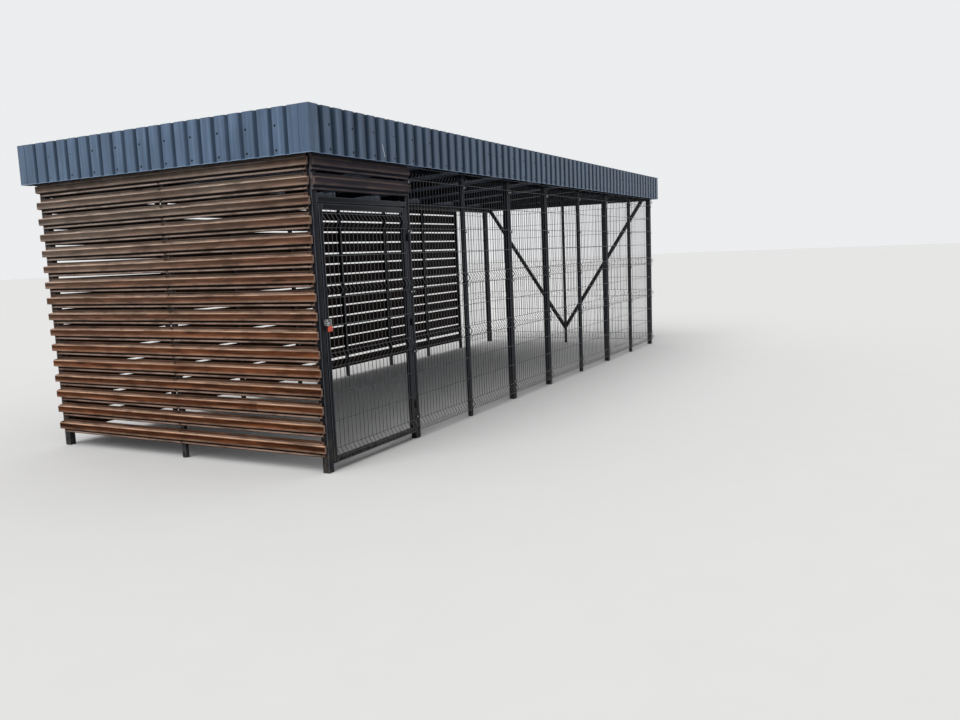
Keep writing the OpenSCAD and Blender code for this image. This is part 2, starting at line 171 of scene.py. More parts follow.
def link_mesh(mesh, materials, sharp_deg):
    """An object of the mesh's name, smooth but for its sharp edges."""
    work = bmesh.new()
    work.from_mesh(mesh)
    bmesh.ops.recalc_face_normals(work, faces=work.faces)
    work.to_mesh(mesh)
    work.free()
    mesh.shade_smooth()
    mesh.set_sharp_from_angle(angle=math.radians(sharp_deg))
    for material in materials:
        mesh.materials.append(material)
    obj = bpy.data.objects.new(mesh.name, mesh)
    bpy.context.scene.collection.objects.link(obj)
    return obj


def cad_slot(node):
    """The record's material slot of a CAD node."""
    return frame["nodes"][node].data.materials[0].name.split(".")[0]


def stand_for(node, mesh, others=(), sharp_deg=SHARP_DEG):
    """Shows a mesh in place of a CAD node, on its body and with its finish."""
    obj = link_mesh(mesh, [MATERIALS[SLOTS[node]], *others], sharp_deg)
    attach(obj, frame["nodes"][node]["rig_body"])
    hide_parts(node)


def fit_on(node, mesh, material):
    """Adds small parts as an extra piece on a CAD node's body."""
    obj = link_mesh(mesh, [material], SMALL_SHARP_DEG)
    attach(obj, frame["nodes"][node]["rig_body"])
    return obj


def run_of(out):
    """The level direction along a wall that faces out."""
    return RIGHT if out.x == 0 else REAR


def run_axis(out):
    return 0 if out.x == 0 else 1


def welded(node):
    """The CAD node's mesh with its corners joined and its flat faces whole."""
    work = bmesh.new()
    work.from_mesh(frame["nodes"][node].data)
    bmesh.ops.remove_doubles(work, verts=work.verts, dist=WELD)
    bmesh.ops.dissolve_limit(
        work, angle_limit=math.radians(FLAT_DEG), verts=work.verts, edges=work.edges)
    return work


def solids(node):
    """The box of each separate solid of a CAD node, from the lowest."""
    work = welded(node)
    left = set(work.verts)
    boxes = []
    while left:
        edge = [left.pop()]
        group = []
        while edge:
            corner = edge.pop()
            group.append(corner.co.copy())
            for link in corner.link_edges:
                other = link.other_vert(corner)
                if other in left:
                    left.remove(other)
                    edge.append(other)
        low = Vector([min(p[k] for p in group) for k in range(3)])
        high = Vector([max(p[k] for p in group) for k in range(3)])
        boxes.append((low, high))
    work.free()
    return sorted(boxes, key=lambda b: [round(b[0][k], BOX_PLACES) for k in (2, 0, 1)])


def rounded(node, radius, rubbed=False):
    """Shows a CAD node with its edges rounded. Highlit edges get a painted highlight, a little
    paler than the faces.
    """
    work = welded(node)
    edges = [
        e for e in work.edges
        if e.is_manifold and e.calc_face_angle(0) > math.radians(EDGE_DEG)
    ]
    bmesh.ops.bevel(
        work, geom=edges, offset=radius, segments=EDGE_STEPS, profile=ROUND_PROFILE,
        affect="EDGES", clamp_overlap=True, material=1 if rubbed else -1,
    )
    mesh = bpy.data.meshes.new(node + "_shape")
    work.to_mesh(mesh)
    work.free()
    stand_for(node, mesh, [EDGE_HIGHLIGHT] if rubbed else [])


def arc_corner(before, corner, after, radius, steps):
    """Points of a rounded corner between two straight stretches."""
    a = (before - corner).normalized()
    b = (after - corner).normalized()
    half = a.angle(b) / 2
    back = min(radius / math.tan(half), (before - corner).length * BEND_REACH,
               (after - corner).length * BEND_REACH)
    start, end = corner + a * back, corner + b * back
    made = []
    for i in range(steps + 1):
        t = i / steps
        made.append(start * (1 - t) ** 2 + corner * (2 * t * (1 - t)) + end * t ** 2)
    return made


def round_path(points, radius, steps=BEND_STEPS):
    """A path with its inner corners rounded."""
    made = [points[0]]
    for before, corner, after in zip(points, points[1:], points[2:]):
        made += arc_corner(before, corner, after, radius, steps)
    made.append(points[-1])
    return made


def circle(centre, side, other, radius, sides, start=0.0):
    """Points around a centre, from side towards other."""
    turns = (start + 2 * math.pi * k / sides for k in range(sides))
    return [centre + side * (radius * math.cos(a)) + other * (radius * math.sin(a)) for a in turns]


def bar(shape, path, side, radius):
    """A round bar along a path that lies in the plane square to side."""
    rings = []
    last = len(path) - 1
    for i, point in enumerate(path):
        run = (path[min(i + 1, last)] - path[max(i - 1, 0)]).normalized()
        rings.append(shape.ring(circle(point, side, run.cross(side), radius, WIRE_SIDES)))
    shape.skin(rings)
    shape.caps(rings)


def turned(shape, centre, out, profile, sides, start=0.0):
    """A round or many-sided piece: profile lists (distance out, radius)."""
    side = out.orthogonal().normalized()
    other = out.cross(side)
    rings = [
        shape.ring(circle(centre + out * away, side, other, radius, sides, start))
        for away, radius in profile
    ]
    shape.skin(rings)
    shape.caps(rings)


# Materials. A span is (from low, from high, to low, to high), and a bump (distance, strength).
# A noise has either a scale or a stretch, both in cells per metre. Gloss is a specular level.


class Shader:
    """The nodes of one material or world, with short ways to add them."""

    def __init__(self, owner, surface="Principled BSDF"):
        owner.use_nodes = True
        self.owner = owner
        self.tree = owner.node_tree
        self.surface = self.tree.nodes[surface]

    def add(self, kind, inputs=None, **settings):
        node = self.tree.nodes.new(kind)
        for key, value in settings.items():
            setattr(node, key, value)
        for key, value in (inputs or {}).items():
            self.put(node.inputs[key], value)
        return node

    def put(self, socket, value):
        if isinstance(value, bpy.types.NodeSocket):
            self.tree.links.new(value, socket)
        elif socket.type == "RGBA" and len(value) == 3:
            socket.default_value = (*value, 1)
        else:
            socket.default_value = value

    def set(self, **values):
        for key, value in values.items():
            self.put(self.surface.inputs[key.replace("_", " ")], value)

    def place(self):
        """The point on the surface, in the piece's own frame."""
        return self.add("ShaderNodeTexCoord").outputs["Object"]

    def attribute(self, name, output="Fac"):
        return self.add("ShaderNodeAttribute", attribute_name=name).outputs[output]

    def stretch(self, vector, scale):
        return self.add("ShaderNodeMapping", {"Vector": vector, "Scale": scale}).outputs[0]

    def noise(self, vector, stretch=None, scale=1.0, detail=4.0, rough=0.55, warp=0.0):
        if stretch:
            vector = self.stretch(vector, stretch)
        return self.add("ShaderNodeTexNoise", {
            "Vector": vector, "Scale": scale, "Detail": detail,
            "Roughness": rough, "Distortion": warp}).outputs["Fac"]

    def cells(self, vector, scale, output):
        return self.add("ShaderNodeTexVoronoi", {"Vector": vector, "Scale": scale}).outputs[output]

    def axis(self, vector, name):
        return self.add("ShaderNodeSeparateXYZ", {"Vector": vector}).outputs[name]

    def calc(self, operation, *values):
        node = self.add("ShaderNodeMath", operation=operation)
        for socket, value in zip(node.inputs, values):
            self.put(socket, value)
        return node.outputs[0]

    def weighed(self, *parts):
        """The sum of values times their weights."""
        total, *others = [self.calc("MULTIPLY", value, weight) for value, weight in parts]
        for part in others:
            total = self.calc("ADD", total, part)
        return total

    def span(self, value, low, high, to_low=0.0, to_high=1.0):
        """value from low to high becomes to_low to to_high, and no further."""
        return self.add("ShaderNodeMapRange", {
            "Value": value, "From Min": low, "From Max": high,
            "To Min": to_low, "To Max": to_high}).outputs[0]

    def blend(self, share, a, b):
        """a where the share is 0, b where it is 1."""
        node = self.add("ShaderNodeMix", data_type="RGBA", blend_type="MIX")
        for socket, value in ((0, share), (6, a), (7, b)):
            self.put(node.inputs[socket], value)
        return node.outputs[2]

    def ramp(self, value, places, colours):
        node = self.add("ShaderNodeValToRGB", {"Fac": value})
        band = node.color_ramp
        while len(band.elements) < len(places):
            band.elements.new(0.5)
        for element, at, colour in zip(band.elements, places, colours):
            element.position = at
            element.color = (*colour, 1)
        return node.outputs["Color"]

    def bump(self, height, distance, strength):
        return self.add("ShaderNodeBump", {
            "Height": height, "Distance": distance, "Strength": strength}).outputs[0]

    def seen_directly(self):
        """1 for rays from the camera or by way of gloss or glass, else 0."""
        path = self.add("ShaderNodeLightPath").outputs
        total = path["Is Camera Ray"]
        for name in ("Is Glossy Ray", "Is Transmission Ray"):
            total = self.calc("MAXIMUM", total, path[name])
        return total


def new_shader(name):
    return Shader(bpy.data.materials.new(name))


def times(colour, factor, plus=0.0):
    """A colour made darker or lighter."""
    return [c * factor + plus for c in colour]


# Timber: noise along, up and through a board
STREAKS = {"stretch": (1.6, 42, 42), "detail": 6, "rough": 0.62, "warp": 0.4}
FIBRES = {"stretch": (7, 240, 240), "detail": 3, "rough": 0.6}
PATCHES = {"stretch": (2.2, 5, 5), "detail": 3}
BLOTCHES = {"stretch": (4.5, 18, 18), "detail": 4, "rough": 0.6}
KNOT_STRETCH = (1.7, 11, 11)
KNOT_EDGE = (0.16, 0.05)
KNOT_SHARE = 0.75
KNOT_DARK = 0.5
STREAK_SHARE = 0.52
FIBRE_SHARE = 0.24
BLOTCH_SHARE = 0.24
TONE_SHARE = 0.06
MEAN_TONE = 0.5
FIBRE_HEIGHT = 0.35
STAIN_STOPS = (0.39, 0.50, 0.62)
GREY_STOPS = (0.36, 0.64)
GREY_DARK = 0.35
GREY_PATCHES = (0.3, 0.7, 0.70, 1.0)
PALE_PATCHES = (0.38, 0.54, 0.50, 1.0)
SCUFF_AND_HIGHLIGHT_PATCHES = (0.35, 0.62, 0.55, 1.0)
SHADE_SHARE = 0.80
INNER_SHARE = 0.82
INNER_DARK = 0.45
BLACKNESS = (0.0, 0.0, 0.0)
# Painted shadow on boards under the fascia: darker and bluer
FASCIA_SHADOW_TONE = (0.019, 0.024, 0.038)
TIMBER_BUMP = (0.0015, 0.9)
TIMBER_GLOSS = 0.035
TIMBER_ROUGH = (0.3, 0.7, 0.60, 0.44)


def timber_material(name, light, mid, dark, grey, fresh_edge_scuffed_and_lit, grey_edge_scuffed_and_lit):
    """Weathered wet softwood: grain along the board, knots, blotches of stain, painted shade with
    wet darkening, greyer high up, pale edges that are scuffed and carry a painted highlight, from
    fresh to weathered timber, a darker back, and a darker, bluer painted shadow where the fascia
    shades a board."""
    s = new_shader(name)
    grain = s.attribute("grain", "Vector")
    weather = s.attribute("weather")
    streaks, fibres, patches, blotches = (
        s.noise(grain, **kind) for kind in (STREAKS, FIBRES, PATCHES, BLOTCHES))
    knots = s.span(s.cells(s.stretch(grain, KNOT_STRETCH), 1.0, "Distance"), *KNOT_EDGE)
    tone = s.calc("SUBTRACT", s.attribute("tone"), MEAN_TONE)
    value = s.weighed(
        (streaks, STREAK_SHARE), (fibres, FIBRE_SHARE), (blotches, BLOTCH_SHARE),
        (tone, TONE_SHARE))
    colour = s.ramp(value, STAIN_STOPS, (dark, mid, light))
    greyed = s.ramp(value, GREY_STOPS, (times(grey, GREY_DARK), grey))
    colour = s.blend(s.calc("MULTIPLY", weather, s.span(patches, *GREY_PATCHES)), colour, greyed)
    colour = s.blend(s.calc("MULTIPLY", knots, KNOT_SHARE), colour, times(dark, KNOT_DARK))
    # Painted shade: darker towards black under the strips, in the set-backs and on hidden faces,
    # with wet darkening
    colour = s.blend(s.calc("MULTIPLY", s.attribute("shade"), SHADE_SHARE), colour, BLACKNESS)
    # Pale edges: scuffing, and a painted highlight along the strips' top rounds, the boards' lips
    # and the shoulders above the strips
    pale = s.blend(s.span(blotches, *PALE_PATCHES), BLACKNESS, s.blend(weather, fresh_edge_scuffed_and_lit, grey_edge_scuffed_and_lit))
    wear = s.calc("MULTIPLY", s.attribute("wear"), s.span(patches, *SCUFF_AND_HIGHLIGHT_PATCHES))
    colour = s.blend(wear, colour, pale)
    # The hidden back: darker, partly stain that has not faded and partly painted shade
    inner = s.calc("MULTIPLY", s.attribute("inner"), INNER_SHARE)
    colour = s.blend(inner, colour, times(dark, INNER_DARK))
    # Painted shadow, darker and bluer, on boards under the fascia
    colour = s.blend(s.attribute("dull"), colour, FASCIA_SHADOW_TONE)
    height = s.calc("ADD", streaks, s.calc("MULTIPLY", fibres, FIBRE_HEIGHT))
    s.set(Base_Color=colour, Normal=s.bump(height, *TIMBER_BUMP),
          Specular_IOR_Level=TIMBER_GLOSS, Roughness=s.span(streaks, *TIMBER_ROUGH))
    return s.owner


END_RINGS = {"stretch": (4, 130, 60), "detail": 4, "warp": 0.8}
END_STOPS = (0.3, 0.7)
END_COLOURS = ((0.07, 0.038, 0.024), (0.27, 0.165, 0.110))
END_ROUGH = (0.3, 0.7, 0.75, 0.6)
END_BUMP = (0.001, 0.6)


def end_grain_material():
    """Sawn board ends, paler than the faces and rough."""
    s = new_shader("end_grain")
    rings = s.noise(s.attribute("grain", "Vector"), **END_RINGS)
    # Board ends under the fascia get the same painted shadow
    colour = s.blend(s.attribute("dull"), s.ramp(rings, END_STOPS, END_COLOURS), FASCIA_SHADOW_TONE)
    s.set(Base_Color=colour, Roughness=s.span(rings, *END_ROUGH),
          Normal=s.bump(rings, *END_BUMP))
    return s.owner


STEEL_CLOUD = {"scale": 6.0, "detail": 5}
STEEL_STREAKS = {"stretch": (55, 55, 1.4), "detail": 4, "rough": 0.6}
STEEL_PEEL = {"scale": 900.0, "detail": 1}
STEEL_GLOSS = 0.13
STEEL_BUMP = (0.0002, 0.25)
CLOUD_SPAN = (0.35, 0.7, 0.0, 0.5)
CLOUD_PALE = 1.7
STREAK_SPAN = (0.56, 0.75, 0.0, 0.35)
STREAK_PALE = (2.6, 0.004)
WET_FROM = (0.35, 0.65)
WET_LESS = 0.08
WET_MORE = 0.12
SPLASH = (0.085, 0.072, 0.055)
SPLASH_NOISE = {"scale": 22.0, "detail": 6, "rough": 0.7}
SPLASH_SPAN = (0.42, 0.62)
SPLASH_SHARE = 0.7
SPLASH_TOP = 0.5
MESH_SPLASH_TOP = 0.35


def steel_material(name, colour, rough, splash_top=SPLASH_TOP, gloss=STEEL_GLOSS):
    """Black coated steel, with rain streaks, a fine orange peel and splashes near the ground."""
    s = new_shader(name)
    place = s.place()
    cloud = s.noise(place, **STEEL_CLOUD)
    streaks = s.noise(place, **STEEL_STREAKS)
    splash = s.calc("MULTIPLY", s.span(s.axis(place, "Z"), splash_top, 0.0),
                    s.span(s.noise(place, **SPLASH_NOISE), *SPLASH_SPAN))
    tint = s.blend(s.span(cloud, *CLOUD_SPAN), colour, times(colour, CLOUD_PALE))
    tint = s.blend(s.span(streaks, *STREAK_SPAN), tint, times(colour, *STREAK_PALE))
    tint = s.blend(s.calc("MULTIPLY", splash, SPLASH_SHARE), tint, SPLASH)
    wet = s.span(s.weighed((cloud, 0.5), (streaks, 0.5)), *WET_FROM,
                 rough - WET_LESS, rough + WET_MORE)
    s.set(Base_Color=tint, Roughness=wet, Specular_IOR_Level=gloss,
          Normal=s.bump(s.noise(place, **STEEL_PEEL), *STEEL_BUMP))
    return s.owner


FLOW = {"stretch": (26, 26, 0.9), "detail": 5, "rough": 0.62}
SHEET_CLOUD = {"scale": 2.3, "detail": 4}
SHEET_FINE = {"stretch": (120, 120, 5), "detail": 3}
SHEET_DENTS = {"scale": 3.5, "detail": 2}
FLOW_SHARE = 0.55
CLOUD_SHARE = 0.3
FINE_SHARE = 0.15
COAT_STOPS = (0.36, 0.52, 0.66)
COAT_DARK = 0.62
DEEP_SHARE = 0.75
DEEP_DARK = 0.15
DEEP_GLOSS = (0.0, 1.0, 0.50, 0.06)
RIM_SHARE = 0.75
RIM_PALE = (1.3, 0.03)
BACK_COAT = (0.17, 0.20, 0.25)
BACK_STOPS = (0.36, 0.60)
BACK_DARK = 0.7
FACES_DOWN = (0.0, -0.1)
FINE_HEIGHT = 0.06
SHEET_BUMP = (0.004, 0.35)
SHEET_ROUGH = (0.35, 0.65, 0.34, 0.50)

# A thin pale scratch in the front fascia, from its top to its foot as (x, z)
SCRATCH = [(-3.372, 2.402), (-3.341, 2.308)]
SCRATCH_WIDE = 0.006
SCRATCH_COLOUR = (0.62, 0.64, 0.66)


def scratch(s, place):
    """1 along the scratch, else 0."""
    x, y, z = (s.axis(place, name) for name in "XYZ")
    top, foot = SCRATCH
    along = s.calc("DIVIDE", s.calc("SUBTRACT", z, foot[1]), top[1] - foot[1])
    line = s.calc("MULTIPLY_ADD", along, top[0] - foot[0], foot[0])
    off = s.calc("ABSOLUTE", s.calc("SUBTRACT", x, line))
    shown = s.calc("LESS_THAN", off, SCRATCH_WIDE / 2)
    for test in (s.calc("GREATER_THAN", along, 0.0), s.calc("LESS_THAN", along, 1.0),
                 s.calc("LESS_THAN", y, 0.0)):
        shown = s.calc("MULTIPLY", shown, test)
    return shown


def sheet_material(name, colour, bright, formed=False):
    """Factory-coated sheet with rain streaks, faint dents and dust, and a greyer back. A formed
    sheet has painted shade in and beside its grooves and is paler along its cut lower edge."""
    s = new_shader(name)
    place = s.place()
    fine = s.noise(place, **SHEET_FINE)
    value = s.weighed(
        (s.noise(place, **FLOW), FLOW_SHARE), (s.noise(place, **SHEET_CLOUD), CLOUD_SHARE),
        (fine, FINE_SHARE))
    tint = s.ramp(value, COAT_STOPS, (times(colour, COAT_DARK), colour, bright))
    if formed:
        back = s.attribute("inside")
        deep = s.attribute("deep")
        rim = s.calc("MULTIPLY", s.attribute("rim"), RIM_SHARE)
        # Painted shade in and beside the grooves
        tint = s.blend(s.calc("MULTIPLY", deep, DEEP_SHARE), tint, times(colour, DEEP_DARK))
        tint = s.blend(rim, tint, times(bright, *RIM_PALE))
        tint = s.blend(scratch(s, place), tint, SCRATCH_COLOUR)
        s.set(Specular_IOR_Level=s.span(deep, *DEEP_GLOSS))
    else:
        normal = s.add("ShaderNodeNewGeometry").outputs["Normal"]
        back = s.span(s.axis(normal, "Z"), *FACES_DOWN)
    tint = s.blend(back, tint, s.ramp(value, BACK_STOPS, (times(BACK_COAT, BACK_DARK), BACK_COAT)))
    height = s.calc("ADD", s.noise(place, **SHEET_DENTS), s.calc("MULTIPLY", fine, FINE_HEIGHT))
    s.set(Base_Color=tint, Roughness=s.span(value, *SHEET_ROUGH),
          Normal=s.bump(height, *SHEET_BUMP))
    return s.owner


SPANGLE_SCALE = 240.0
SPANGLE_STOPS = (0.0, 1.0)
SPANGLE_COLOURS = ((0.30, 0.31, 0.32), (0.46, 0.47, 0.48))
BLOOM = {"scale": 45.0, "detail": 5, "rough": 0.65}
BLOOM_SPAN = (0.5, 0.7, 0.0, 0.6)
BLOOM_COLOUR = (0.55, 0.55, 0.54)
RUST = {"scale": 70.0, "detail": 6, "rough": 0.7}
RUST_SPAN = (0.60, 0.72, 0.0, 0.8)
RUST_COLOUR = (0.16, 0.065, 0.03)
RUST_METAL = (0.0, 0.8, 0.85, 0.1)
ZINC_ROUGH = (0.3, 0.7, 0.34, 0.55)


def zinc_material():
    """Galvanised plate and bolts: spangle, white bloom and a little rust."""
    s = new_shader("zinc_steel")
    place = s.place()
    spangle = s.axis(s.cells(place, SPANGLE_SCALE, "Color"), "X")
    bloom = s.noise(place, **BLOOM)
    rust = s.span(s.noise(place, **RUST), *RUST_SPAN)
    tint = s.ramp(spangle, SPANGLE_STOPS, SPANGLE_COLOURS)
    tint = s.blend(s.span(bloom, *BLOOM_SPAN), tint, BLOOM_COLOUR)
    tint = s.blend(rust, tint, RUST_COLOUR)
    s.set(Base_Color=tint, Metallic=s.span(rust, *RUST_METAL),
          Roughness=s.span(bloom, *ZINC_ROUGH))
    return s.owner


ENAMEL = {"scale": 60.0, "detail": 5, "rough": 0.65}
ENAMEL_STOPS = (0.35, 0.6)
ENAMEL_COLOURS = ((0.50, 0.055, 0.022), (0.72, 0.105, 0.045))
ENAMEL_ROUGH = (0.3, 0.7, 0.28, 0.42)
CHIPS = {"scale": 260.0, "detail": 4, "rough": 0.7}
CHIP_EDGE = (0.66, 0.70)
CHIP_COLOUR = (0.32, 0.30, 0.28)
CHIP_BUMP = (0.0002, -0.4)


def lock_material():
    """Red-orange enamel of the padlock, with small chips."""
    s = new_shader("lock_case")
    place = s.place()
    cloud = s.noise(place, **ENAMEL)
    chips = s.span(s.noise(place, **CHIPS), *CHIP_EDGE)
    tint = s.blend(chips, s.ramp(cloud, ENAMEL_STOPS, ENAMEL_COLOURS), CHIP_COLOUR)
    s.set(Base_Color=tint, Roughness=s.span(cloud, *ENAMEL_ROUGH),
          Normal=s.bump(chips, *CHIP_BUMP))
    return s.owner


PLATING = {"stretch": (30, 400, 400), "detail": 4, "rough": 0.7}
PLATING_STOPS = (0.3, 0.7)
PLATING_COLOURS = ((0.50, 0.51, 0.53), (0.68, 0.69, 0.71))
PLATING_METAL = 0.9
PLATING_ROUGH = (0.3, 0.7, 0.2, 0.36)


def bright_material():
    """Plated shackle, lightly scratched."""
    s = new_shader("bright_steel")
    scratches = s.noise(s.place(), **PLATING)
    s.set(Base_Color=s.ramp(scratches, PLATING_STOPS, PLATING_COLOURS), Metallic=PLATING_METAL,
          Roughness=s.span(scratches, *PLATING_ROUGH))
    return s.owner


SCREW_CLOUD = {"scale": 150.0, "detail": 4, "rough": 0.65}
SCREW_STOPS = (0.35, 0.7)
SCREW_COLOURS = ((0.0035, 0.0035, 0.0045), (0.014, 0.013, 0.013))
SCREW_GLOSS = 0.15
SCREW_ROUGH = (0.3, 0.7, 0.45, 0.6)


def screw_material():
    """Dark painted or oxidised screw heads and washers."""
    s = new_shader("dark_screws")
    cloud = s.noise(s.place(), **SCREW_CLOUD)
    s.set(Base_Color=s.ramp(cloud, SCREW_STOPS, SCREW_COLOURS), Specular_IOR_Level=SCREW_GLOSS,
          Roughness=s.span(cloud, *SCREW_ROUGH))
    return s.owner


SLOTS = {name: cad_slot(name) for name in frame["nodes"]}
BLACK = (0.0044, 0.0048, 0.0076)
BLACK_ROUGH = 0.36
MESH_COLOUR = (0.022, 0.024, 0.029)
MESH_ROUGH = 0.30
MESH_GLOSS = 0.7
# Painted highlight on the rounded edges of the tubes: paler, bluer and glossier than the black coat
EDGE_HIGHLIGHT_COLOUR = (0.024, 0.030, 0.040)
EDGE_HIGHLIGHT_ROUGH = 0.34
EDGE_HIGHLIGHT_GLOSS = 0.5
SLATE_COLOURS = ((0.058, 0.100, 0.164), (0.116, 0.176, 0.256))
ROOF_COLOURS = ((0.050, 0.080, 0.125), (0.100, 0.140, 0.190))

# Light, middle and dark stain, grey of weather, and pale edges on fresh and on weathered timber,
# scuffed and with a painted highlight
STRIP_COLOURS = (
    (0.176, 0.055, 0.020), (0.074, 0.0220, 0.0074), (0.019, 0.0053, 0.0019),
    (0.165, 0.130, 0.102), (0.50, 0.315, 0.210), (0.54, 0.410, 0.325),
)
BACKING_COLOURS = (
    (0.138, 0.060, 0.028), (0.068, 0.028, 0.0125), (0.020, 0.0082, 0.0040),
    (0.150, 0.118, 0.094), (0.38, 0.262, 0.205), (0.40, 0.315, 0.262),
)

MATERIALS = {
    "black_steel": steel_material("black_steel", BLACK, BLACK_ROUGH),
    "coated_mesh": steel_material(
        "coated_mesh", MESH_COLOUR, MESH_ROUGH, MESH_SPLASH_TOP, MESH_GLOSS),
    "slate_sheet": sheet_material("slate_sheet", *SLATE_COLOURS, formed=True),
    "roof_steel": sheet_material("roof_steel", *ROOF_COLOURS),
    "strip_timber": timber_material("strip_timber", *STRIP_COLOURS),
    "backing_timber": timber_material("backing_timber", *BACKING_COLOURS),
    "zinc_steel": zinc_material(),
    "lock_case": lock_material(),
    "bright_steel": bright_material(),
}
# Material of the painted edge highlight
EDGE_HIGHLIGHT = steel_material("painted_edge_highlight", EDGE_HIGHLIGHT_COLOUR, EDGE_HIGHLIGHT_ROUGH, gloss=EDGE_HIGHLIGHT_GLOSS)
END_GRAIN = end_grain_material()
SCREWS = screw_material()


# Timber walls. Each corner of a board carries its grain (along, up and out), tone, weather,
# scuff and highlight (pale edges: scuffing and painted highlight), shade (painted shade, with wet
# darkening), inner (the hidden back) and fascia shadow (painted shadow of the fascia).

ROUND_STEPS = 3
STRIP_LOW_ROUND = 0.004
STRIP_TOP_ROUND = 0.008
BOARD_ROUND = 0.003
LIP_TOP = 0.0160
LIP_ROUND = 0.003
LIP_OUT = 0.003
LIP_STEPS = 2
STRIP_LOW_ON_BOARD = 0.033
STRIP_TOP_ON_BOARD = 0.091

# A face strip: (pale edge, shade) at its back corners and its lower edge, (up, pale edge, shade) up
# its face, (down, pale edge, shade) from its top round, and pale edge around that. Pale edge is
# scuffing with a painted highlight; shade is painted shade, with wet darkening
STRIP_FOOT = (0.1, 0.6)
STRIP_LOW_EDGE = (0.4, 0.1)
STRIP_LOW_FACE = [(0.008, 0.42, 0.0), (0.013, 0.30, 0.0), (0.020, 0.03, 0.0), (0.028, 0.0, 0.12)]
STRIP_HIGH_FACE = [(0.007, 0.0, 0.55), (0.001, 0.08, 0.45)]
# Painted highlight along the strip's top round
STRIP_TOP_SCUFF_AND_HIGHLIGHT = (0.35, 0.75, 1.0, 1.0, 1.0)
STRIP_BACK = (0.85, 0.0)

# A backing board: the same, with a proud lower lip whose face has a painted highlight, a set-back
# face up to the strip in painted shade, and a shoulder from behind the strip to the board's top,
# with a painted highlight just over the strip
BOARD_FOOT = (0.0, 0.8)
BOARD_LOW_EDGE = (0.0, 0.55)
LIP_FACE = [(0.005, 0.45, 0.0), (0.008, 1.0, 0.0), (LIP_TOP - LIP_ROUND, 1.0, 0.0)]
LIP_EDGE = (0.9, 0.0)
SET_BACK = [
    (LIP_TOP + 0.001, 0.1, 0.7), (LIP_TOP + 0.003, 0.0, 1.0),
    (STRIP_LOW_ON_BOARD - 0.001, 0.0, 1.0),
]
SHOULDER = [
    (STRIP_LOW_ON_BOARD + 0.001, 0.0, 1.0), (STRIP_TOP_ON_BOARD, 0.70, 0.2),
    (STRIP_TOP_ON_BOARD + 0.007, 0.58, 0.25), (STRIP_TOP_ON_BOARD + 0.015, 0.05, 0.50),
]
SHOULDER_END = (0.004, 0.0, 0.48)
BOARD_TOP_EDGE = (0.1, 0.25)
BOARD_BACK = (0.1, 0.35)

# Greyness: most at the rear top of the left end, least at the front foot
WALL_HALF = 1.47
WEATHER_TOP = 2.3
WEATHER_POWER = 3
WEATHER_NEAR = 0.75
WEATHER_DEEPER = 1.7

# Unevenness of the boards: waves in radians per metre, each with a share of PLANK_WAVE
PLANK_STATION = 0.06
PLANK_WAVE = 0.0008
LIFT_WAVES = (2.1, 7.3)
QUICK_LIFT = 0.5
FACE_WAVES = (3.3, 9.1)
FACE_SHARE = 0.6
GRAIN_SHIFT = 40

# Butt joints: in the left strips by row and place, in the rear strips by (first post, number of
# posts that the joints step through)
BUTT_GAP = 0.0025
LEFT_JOINT = {2: [-0.853]}
REAR_JOINT_POSTS = ((2, 3), (5, 2))
BOARD_ROWS = 16
# Painted shadow of the fascia on the gate's head boards
HEAD_FASCIA_SHADOW = 0.62

# Screws of the boards
LEFT_SCREWS = (-1.42, -0.016, 0.016, 1.42)
SCREW_R = 0.0045
SCREW_PROFILE = [(-0.001, SCREW_R), (0.0008, SCREW_R), (0.0018, SCREW_R * 0.6)]
SCREW_SIDES = 10
SCREW_IN = 0.010
SCREW_REACH = 0.06
SHOULDER_UP = 0.104
LIP_UP = 0.016


def quarter(centre, radius, start_deg, steps=ROUND_STEPS):
    """Points of a quarter round from a starting direction, anticlockwise."""
    made = []
    for i in range(steps + 1):
        a = math.radians(start_deg + 90 * i / steps)
        made.append((centre[0] + radius * math.cos(a), centre[1] + radius * math.sin(a)))
    return made


def strip_section(thick, tall):
    """Outline of a face strip as (out, up, scuffing with painted highlight, painted shade), from
    its lower back corner.
    """
    low, top = STRIP_LOW_ROUND, STRIP_TOP_ROUND
    made = [(0.0, 0.0, *STRIP_FOOT)]
    made += [(u, v, *STRIP_LOW_EDGE) for u, v in quarter((thick - low, low), low, -90)]
    made += [(thick, *spot) for spot in STRIP_LOW_FACE]
    made += [(thick, tall - top - down, *looks) for down, *looks in STRIP_HIGH_FACE]
    edge = quarter((thick - top, tall - top), top, 0, len(STRIP_TOP_SCUFF_AND_HIGHLIGHT) - 1)
    made += [(u, v, wear, 0.0) for (u, v), wear in zip(edge, STRIP_TOP_SCUFF_AND_HIGHLIGHT)]
    made.append((0.0, tall, *STRIP_BACK))
    return made


def board_section(thick, tall):
    """Outline of a backing board: a proud lower lip, and an upper shoulder over the strip."""
    low = BOARD_ROUND
    lip = quarter((thick - LIP_ROUND, LIP_TOP - LIP_ROUND), LIP_ROUND, 0, LIP_STEPS)
    down, *looks = SHOULDER_END
    made = [(0.0, 0.0, *BOARD_FOOT)]
    made += [(u, v, *BOARD_LOW_EDGE) for u, v in quarter((thick - low, low), low, -90)]
    made += [(thick, *spot) for spot in LIP_FACE]
    made += [(u, v, *LIP_EDGE) for u, v in lip[1:]]
    made += [(thick - LIP_OUT, *spot) for spot in SET_BACK]
    made += [(thick, *spot) for spot in SHOULDER]
    made.append((thick, tall - low - down, *looks))
    made += [(u, v, *BOARD_TOP_EDGE) for u, v in quarter((thick - low, tall - low), low, 0)]
    made.append((0.0, tall, *BOARD_BACK))
    return made


def weathering(point):
    """How grey the timber is at a point."""
    depth = (point.y + WALL_HALF) / (2 * WALL_HALF)
    height = point.z / WEATHER_TOP
    grey = height ** WEATHER_POWER * (WEATHER_NEAR + WEATHER_DEEPER * depth)
    return min(1.0, max(0.0, grey))


